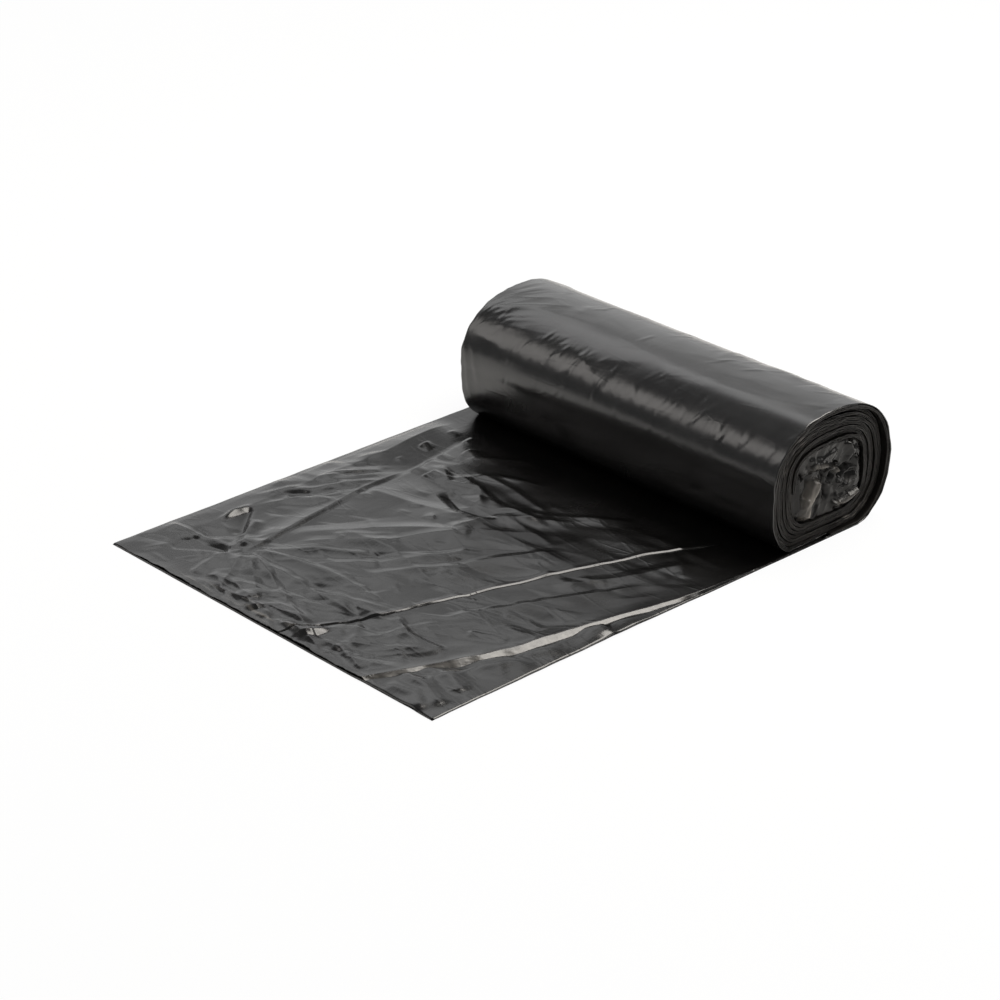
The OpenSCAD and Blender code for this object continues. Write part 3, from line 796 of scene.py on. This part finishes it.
# Batches of chance creases, listed as CHANCE_CREASES are
ROLL_CREASES = [
    (90, 34, (10, 228, 10, 215), [(14, 12), (-16, 14)], (24, 80), (0.03, 0.10), (2.4, 6.0)),
    (92, 60, (8, 224, 4, 96), [(82, 12), (58, 10), (8, 8)], (24, 80), (0.06, 0.18), (3.0, 8.0)),
]
# How far creases sink in at most, because the next ply lies below
SINK = 0.15


def turns_to_mm(turns):
    """Rough distance round the outside of the roll, for patterns."""
    return turns * math.pi * (ROLL_W + ROLL_H) / 2


def round_mm(turn):
    return turns_to_mm(TURNS - turn)


def angle_to_mm(angle):
    return turns_to_mm((angle + 90) / 360)


def laid_out(points):
    """A path given as distances along the roll and angles round it, laid out flat."""
    return [(x, angle_to_mm(angle)) for x, angle in points]


def swell(x, turn):
    """The wound film bulges and sinks a little, the same in neighbouring turns."""
    r = round_mm(turn)
    return 0.26 * rough(81, x / 80, r / 56) + 0.05 * rough(82, x / 34 + 2, r / 40)


def gathers(x, r):
    """Long thin ridges one after another: those listed, and chance ones bunched at the left end."""
    for points, rise, left, right in GATHERS:
        yield fold(x, r, laid_out(points), GATHER_RISE * rise, GATHER_LEFT * left, GATHER_RIGHT * right, 0.25)
    rng = np.random.default_rng(91)
    for _ in range(26):
        start, spread = rng.uniform(122, 160), rng.uniform(0, 1)
        end = start - rng.uniform(20, 70)
        path = laid_out([(11, start), (14 + 6 * spread, mix(start, end, 0.45)), (18 + 34 * spread, end)])
        yield fold(x, r, path, rng.uniform(0.05, 0.15), 1.0, 1.6, 0.25)


def wrinkles(x, r):
    """Short curved wrinkles one after another, across the band that catches the light and across the back."""
    for seed, count, middle, spread in WRINKLES:
        rng = np.random.default_rng(seed)
        for _ in range(count):
            middle_x, angle = rng.uniform(24, 228), rng.normal(middle, spread)
            tilt, size = rng.normal(0.45, 0.25), rng.uniform(4, 12)
            bend = rng.normal(0, 0.12)
            middle_r = angle_to_mm(angle)
            t = (r - middle_r) / size
            d = x - middle_x + tilt * (r - middle_r) + bend * size * t * t
            w = rng.uniform(0.6, 1.1)
            rise = rng.uniform(0.06, 0.20) * rng.choice([-1, 1, 1])
            yield rise * ease(1.3 * (1 - np.abs(t))) * flank(d, 1.6 * w, 2.8 * w)


def outer_film(u, v):
    """The outermost film of the outer turn, from under the roll round the back and over the top."""
    turn = np.interp(v, [0, 0.2, 0.8, 1], [OUTER_START, 8.6, 8.16, OUTER_END])
    left = left_edge(turn) + 0.5 * rough_line(83, turn * 40)
    right = right_edge(turn) + 0.5 * rough_line(84, turn * 34)
    x = mix(left, right, mix(u, u ** 1.5, 0.2))
    r = round_mm(turn)
    h = swell(x, turn)
    wx, wr = x + 0.9 * rough(85, x / 16, r / 16), r + 0.9 * rough(86, x / 16 + 4, r / 16)
    for ridge in gathers(wx, wr):
        h += ridge
    # the shoulder above the band that catches the light stands out towards the right end
    h += 0.7 * ease((x - 90) / 90) * bump((turn_angle(turn) - 116) / 17)
    for wrinkle in wrinkles(wx, wr):
        h += wrinkle
    h -= 0.006 * facets(88, wx, wr, 76, 60, 20) + 0.008 * facets(89, wx, wr, 14, 110, 26)
    for batch in ROLL_CREASES:
        h += scatter(wx, wr, *batch)
    ground = swell(x, turn)
    sunk = np.minimum(h - ground, 0)
    h = np.maximum(h, ground) - SINK * (1 - np.exp(sunk / SINK))
    # nothing stands out where the roll bears on the web below it
    clear = ease(np.minimum(turn - OUTER_END, OUTER_START - turn) / 0.12)
    h = h * clear + 0.1
    y, z = wound(turn, 1.0, h + 0.28)
    z = np.maximum(settle(x, z), ROLL_FLOOR)
    return place(x, y, z), np.stack([x, r], axis=-1)


def edge_columns(u, left, right):
    """Places across the web, crowded at both edges where the turns show."""
    width = right - left
    count = len(EDGE_STEPS)
    share = u * (2 * count - 1)
    low = np.interp(share, np.arange(count), EDGE_STEPS)
    high = np.interp(2 * count - 1 - share, np.arange(count), EDGE_STEPS)
    inside = np.clip(share - (count - 1), 0, 1)
    middle = mix(EDGE_STEPS[-1], width - EDGE_STEPS[-1], inside)
    return left + np.where(share <= count - 1, low, np.where(share >= count, width - high, middle))


def ply_film(number):
    """One of the three folded plies of the wound web, from the hollow out to the bottom of the outer turn."""
    seed = 100 + 10 * number

    def shape(u, v):
        turn = mix(START_TURN, TURNS, v)
        # groups of turns stand out and lie back together
        band = 1.5 * rough_line(97, turn * 0.83) + 0.4 * rough_line(98, turn * 2.3)
        fine = 0.22 * rough_line(seed + 1, turn * 26) + 0.14 * rough_line(seed + 2, turn * 90)
        loose = ease((8.6 - turn) / 0.5)
        left = left_edge(turn) + loose * (0.6 * band + fine) + 0.3 * (PLIES - 1 - number)
        right = right_edge(turn) + loose * (0.9 * band + fine) - 0.6 + 0.2 * rough_line(seed + 3, turn * 9)
        right = np.minimum(right, WEB_W + 0.6)
        x = edge_columns(u, left, right)
        edge = np.minimum(x - left, right - x)
        loosened = 0.25 * rough(seed + 4, turn * 26, x / 9) + 0.16 * rough(seed + 5, turn * 70, x / 5)
        lift = swell(x, turn) * ease((turn - 2) / 5) + np.exp(-edge / 3.0) * loosened
        y, z = wound(turn, (number + 0.5) / PLIES, lift)
        z = np.maximum(settle(x, z), ROLL_FLOOR + 0.2 * number)
        # pale lines along the edges, and painted highlights: streaks of light at the top front and at the low
        # back
        lines = np.exp(-edge / 0.6) * ease(0.5 + 1.2 * rough_line(seed + 6, turn * 5))
        angle = turn_angle(turn) % 360
        top_front = bump((angle - 142) / 34) * bump((turn - 5.4) / 2.2)
        low_back = bump((angle - 306) / 30) * bump((turn - 6.6) / 2.4)
        streaks = ease(0.1 + 1.1 * rough_line(seed + 7, turn * 34))
        whitening_and_light = 0.06 * lines + 0.85 * (top_front + low_back) * streaks * np.exp(-edge / 1.2)
        return place(x, y, z), np.stack([x, turn * TURN_LENGTH], axis=-1), whitening_and_light

    return shape


# The crumple in the hollow. Its places are millimetres from the hollow's middle, seen from the right end

CRUMPLE_FOLDS = [
    # the M of ridges in the middle
    ([(-13, 8), (-9, 9.8), (-4, 8.4), (0, 7.4)], 3.0, 2.6, 3.6),
    ([(-1, 6.4), (4, 5), (8, 1.5)], 2.4, 2.2, 2.6),
    ([(-1, 8), (-3, 3), (-1, -3), (0, -11)], -2.8, 2.2, 2.6),
    # the creased flap that hangs to the lower front corner
    ([(-7, 3), (-10, -3), (-14, -9), (-15.5, -17)], 4.4, 3.4, 3.2),
    ([(-9.5, 3), (-13, -3), (-17, -9), (-17.5, -16)], 2.6, 2.4, 2.0),
    # the lobe and the bright lower edge
    ([(5, -4), (10, -4), (15, -9)], 2.0, 4.0, 5.0),
    ([(5, -11), (9, -12), (15, -11)], 1.4, 3.0, 4.0),
    ([(2, -14), (11, -14.6), (18, -13), (23, -11)], 3.2, 2.0, 2.6),
    # film that comes in from the back wall, and the dark facet's lower edge
    ([(13, 17), (16, 9), (14, 4)], 2.4, 3.0, 4.0),
    ([(18, 14), (19, 4), (18, -6)], 1.8, 2.6, 3.0),
    ([(-14, 13), (-4, 11.6), (7, 14)], 1.2, 2.0, 5.0),
    ([(-19, 10), (-20, 0), (-19, -12)], 1.6, 1.6, 2.0),
    # dark valleys between them
    ([(0.5, -3), (4, 2.4), (7.5, 7.6)], -2.6, 2.2, 3.0),
    ([(7, -1), (11, 2.8), (14.5, 4.6), (18.5, 9.5)], -2.8, 2.4, 3.2),
    ([(9.5, -7), (13.5, -2.5), (19, 0)], -2.0, 2.0, 2.6),
    ([(-16, -6), (-12.5, 0), (-13.5, 6)], -2.6, 2.0, 2.6),
    ([(-19.5, 9), (-16.5, 4)], -2.6, 1.8, 1.8),
]

# Where the crumple is painted paler, partly film whitened and partly painted highlights: path, width and
# strength
CRUMPLE_WHITENING_AND_LIGHT = [
    ([(-6, 4), (-10, -3), (-14, -9), (-16, -19)], 4.6, 0.9),
    ([(-13, 8), (-9, 9.6), (-4, 8.4), (0, 7)], 1.6, 0.45),
    ([(1, 6), (5, 4), (8, 1.5)], 1.6, 0.45),
    ([(3, -14), (11, -14.6), (17, -13), (22, -11)], 1.5, 0.3),
    ([(-14, 13.5), (-4, 17), (8, 19), (19, 17), (23, 8)], 1.2, 0.08),
    ([(14, -3), (17, -9)], 2.0, 0.1),
]

# How far the crumple's edge runs in between the turns, and where its middle lies at the two ends
CRUMPLE_EDGE = 2.4
RIGHT_CRUMPLE = 226.2
LEFT_CRUMPLE = -1.4


def mirrored(path, way):
    return [(way * a, b) for a, b in path]


def hollow_relief(p, q, seed, way):
    """How far the crumpled film stands out, over the hollow's cross-section."""
    wp = p + 0.5 * rough(seed, p / 7, q / 7)
    wq = q + 0.5 * rough(seed + 1, p / 7 + 3, q / 7)
    h = -0.9 + 0.05 * p + 0.6 * rough(seed + 2, p / 11, q / 11)
    for path, rise, left, right in CRUMPLE_FOLDS:
        sides = (left, right) if way > 0 else (right, left)
        h += fold(wp, wq, mirrored(path, way), rise, *sides, 0.12)
    middle = ease(1.3 - np.hypot(p / 23, q / 17))
    h -= 0.20 * facets(seed + 3, wp, wq, 66 * way, 20, 4.4) * (0.5 + middle)
    slants = [(66 * way, 9), (16 * way, 12)]
    h += scatter(wp, wq, seed + 5, 44, (-22, 22, -17, 17), slants, (8, 26), (0.25, 0.7), (0.7, 1.8))
    return h


def hollow_whitening_and_light(p, q, way):
    """How far the crumple is painted paler, partly film whitened and partly painted highlights: on the
    hanging flap, the M of ridges and the low edge.
    """
    streaks = 0.55 + 0.45 * rough(240, (0.92 * way * p - 0.4 * q) / 0.9, (0.4 * way * p + 0.92 * q) / 7)
    whitening_and_light = np.zeros(np.shape(p))
    for path, width, strength in CRUMPLE_WHITENING_AND_LIGHT:
        d, t = along(mirrored(path, way), p, q)
        whitening_and_light = np.maximum(whitening_and_light, strength * ease(1.15 - np.abs(d) / width) * ease(5 * (1 - t)) * ease(5 * t))
    return whitening_and_light * streaks


def hollow_film(seed, way):
    """The web's inner end, crushed into the hollow: way is 1 at the right end and -1 at the left."""
    def shape(u, v):
        a, b = 2 * u - 1, (2 * v - 1) * way
        # the square grid is fitted to the hollow's rounded outline
        square = np.maximum(np.abs(a), np.abs(b))
        rounded = (np.abs(a) ** SQUARE_HOLLOW + np.abs(b) ** SQUARE_HOLLOW) ** (1 / SQUARE_HOLLOW)
        fit = square / np.maximum(rounded, 1e-6)
        p = a * fit * (HOLLOW_W / 2 + CRUMPLE_EDGE)
        q = b * fit * (HOLLOW_H / 2 + CRUMPLE_EDGE + 1.4 * (b < 0))
        rim = ease((square - 0.86) / 0.14)
        out = np.clip(hollow_relief(p, q, seed, way), -9, 2.6) - 1.2 * rim
        x = (RIGHT_CRUMPLE if way > 0 else LEFT_CRUMPLE) + way * out
        points = place(x, TAIL + p, settle(x, ROLL_H / 2 - HOLLOW_DROP + q))
        return points, np.stack([p, q], axis=-1), hollow_whitening_and_light(p, q, way)

    return shape


# The pieces of film

film_slab("tail_main", 250, 372, main_film, film_lying)
film_slab("tail_flap", 110, 400, flap_film, film_lying, under=0.34)
film_sheet("tail_lower", 130, 150, lower_film, 0.3, film_lying)
film_sheet("roll_outer", 250, 172, outer_film, 0.22, film_wound)
for number in range(PLIES):
    film_sheet("roll_ply_%d" % (number + 1), 20, 1080, ply_film(number), 0.42, film_turns, side=0.0)
film_sheet("hollow_right", 124, 96, hollow_film(200, 1), 0.3, film_crumple)
film_sheet("hollow_left", 124, 96, hollow_film(230, -1), 0.3, film_crumple)


# Floor, light and camera

# Half the floor's width, and the place at which the lamps aim, both in metres
FLOOR_REACH = 2.5
LAMP_AIM = (0.0, 0.09, 0.03)
# The camera fitted to the photograph: its place in web widths from the free end's front left corner, how far
# it is turned and tilted in degrees, and its lens in millimetres
CAMERA_PLACE = (4.7977, -3.3669, 2.9606)
CAMERA_TURN = 47.0
CAMERA_TILT = 26.2
CAMERA_LENS = 112.18
SENSOR_WIDTH = 36.0


def flat_panel(name, size, finish):
    bm = bmesh.new()
    bmesh.ops.create_grid(bm, x_segments=1, y_segments=1, size=size)
    mesh = bpy.data.meshes.new(name)
    bm.to_mesh(mesh)
    bm.free()
    mesh.materials.append(finish)
    return new_object(name, mesh)


def seen_white(tree, lit, white, share):
    """The camera sees this share of plain white, and the film reflects what is lit."""
    path = add_node(tree, "LightPath")
    part = add_node(tree, "Math", {0: path.outputs["Is Camera Ray"], 1: share}, operation="MULTIPLY")
    return add_node(tree, "MixShader", {"Fac": part.outputs[0], 1: lit, 2: white}).outputs["Shader"]


def floor_finish():
    """White paper, on which the camera sees a light shadow."""
    material = bpy.data.materials.new("white_paper")
    material.use_nodes = True
    tree = material.node_tree
    shader = tree.nodes["Principled BSDF"]
    shader.inputs["Base Color"].default_value = (0.9, 0.9, 0.9, 1)
    shader.inputs["Roughness"].default_value = 0.9
    shader.inputs["Specular IOR Level"].default_value = 0.1
    glow = add_node(tree, "Emission", {"Color": (1, 1, 1, 1), "Strength": 1.0})
    surface = seen_white(tree, shader.outputs["BSDF"], glow.outputs["Emission"], 0.94)
    tree.links.new(surface, tree.nodes["Material Output"].inputs["Surface"])
    return material


def soft_lamp(name, direction, distance, wide, tall, radiance, tint=(1, 1, 1), spin=0.0):
    """A soft lamp in a direction from the roll, facing it, and turned by `spin` degrees about its aim."""
    lamp = bpy.data.lights.new(name, "AREA")
    lamp.shape = "RECTANGLE"
    lamp.size, lamp.size_y = wide, tall
    lamp.energy = radiance * math.pi * wide * tall
    lamp.color = tint
    body = new_object(name, lamp)
    way = Vector(direction).normalized()
    body.location = Vector(LAMP_AIM) + way * distance
    turned = way.to_track_quat("Z", "Y") @ Quaternion((0, 0, 1), math.radians(spin))
    body.rotation_euler = turned.to_euler()


def pale_room():
    """A pale room, a little brighter behind the roll, which the camera sees as plain white."""
    world = bpy.data.worlds.new("studio")
    world.use_nodes = True
    tree = world.node_tree
    room = tree.nodes["Background"]
    room.inputs["Color"].default_value = (1, 1, 1, 1)
    direction = add_node(tree, "TexCoord")
    facing = add_node(tree, "VectorMath", {0: direction.outputs["Generated"], 1: (-0.80, 0.57, 0.20)},
                      operation="DOT_PRODUCT")
    back = ramp(tree, facing.outputs["Value"], 0.83, 1.03, 0.24, 1.22, "SMOOTHSTEP")
    tree.links.new(back, room.inputs["Strength"])
    white = add_node(tree, "Background", {"Color": (1, 1, 1, 1), "Strength": 1.0})
    surface = seen_white(tree, room.outputs["Background"], white.outputs["Background"], 1.0)
    tree.links.new(surface, tree.nodes["World Output"].inputs["Surface"])
    return world


def photo_camera():
    """The camera at the place and angle from which the photograph was taken."""
    lens = bpy.data.cameras.new("camera")
    lens.lens = CAMERA_LENS
    lens.sensor_width = SENSOR_WIDTH
    camera = new_object("camera", lens)
    camera.location = Vector(SHIFT) + Vector(CAMERA_PLACE) * (WEB_W / 1000)
    turn, tilt = math.radians(CAMERA_TURN), math.radians(CAMERA_TILT)
    sight = Vector((-math.sin(turn) * math.cos(tilt), math.cos(turn) * math.cos(tilt), -math.sin(tilt)))
    camera.rotation_euler = sight.to_track_quat("-Z", "Y").to_euler()
    return camera


floor = flat_panel("floor", FLOOR_REACH, floor_finish())

soft_lamp("soft_box_above", (-0.640, 0.27, 0.718), 1.3, 0.96, 0.48, 1.55, spin=-25.0)
soft_lamp("strip_front_left", (-0.640, -0.550, 0.53), 1.3, 0.8, 0.42, 1.8, tint=(1.0, 0.96, 0.92))
soft_lamp("glint_overhead", (0.10, 0.40, 0.91), 1.2, 0.68, 0.68, 11.0, tint=(1.0, 0.96, 0.90))
soft_lamp("rim_back_right", (0.72, 0.42, 0.55), 1.2, 0.34, 0.34, 4.0, tint=(1.0, 0.97, 0.93))

scene = bpy.context.scene
scene.world = pale_room()
scene.camera = photo_camera()
scene.view_settings.view_transform = "Standard"

bpy.context.view_layer.update()
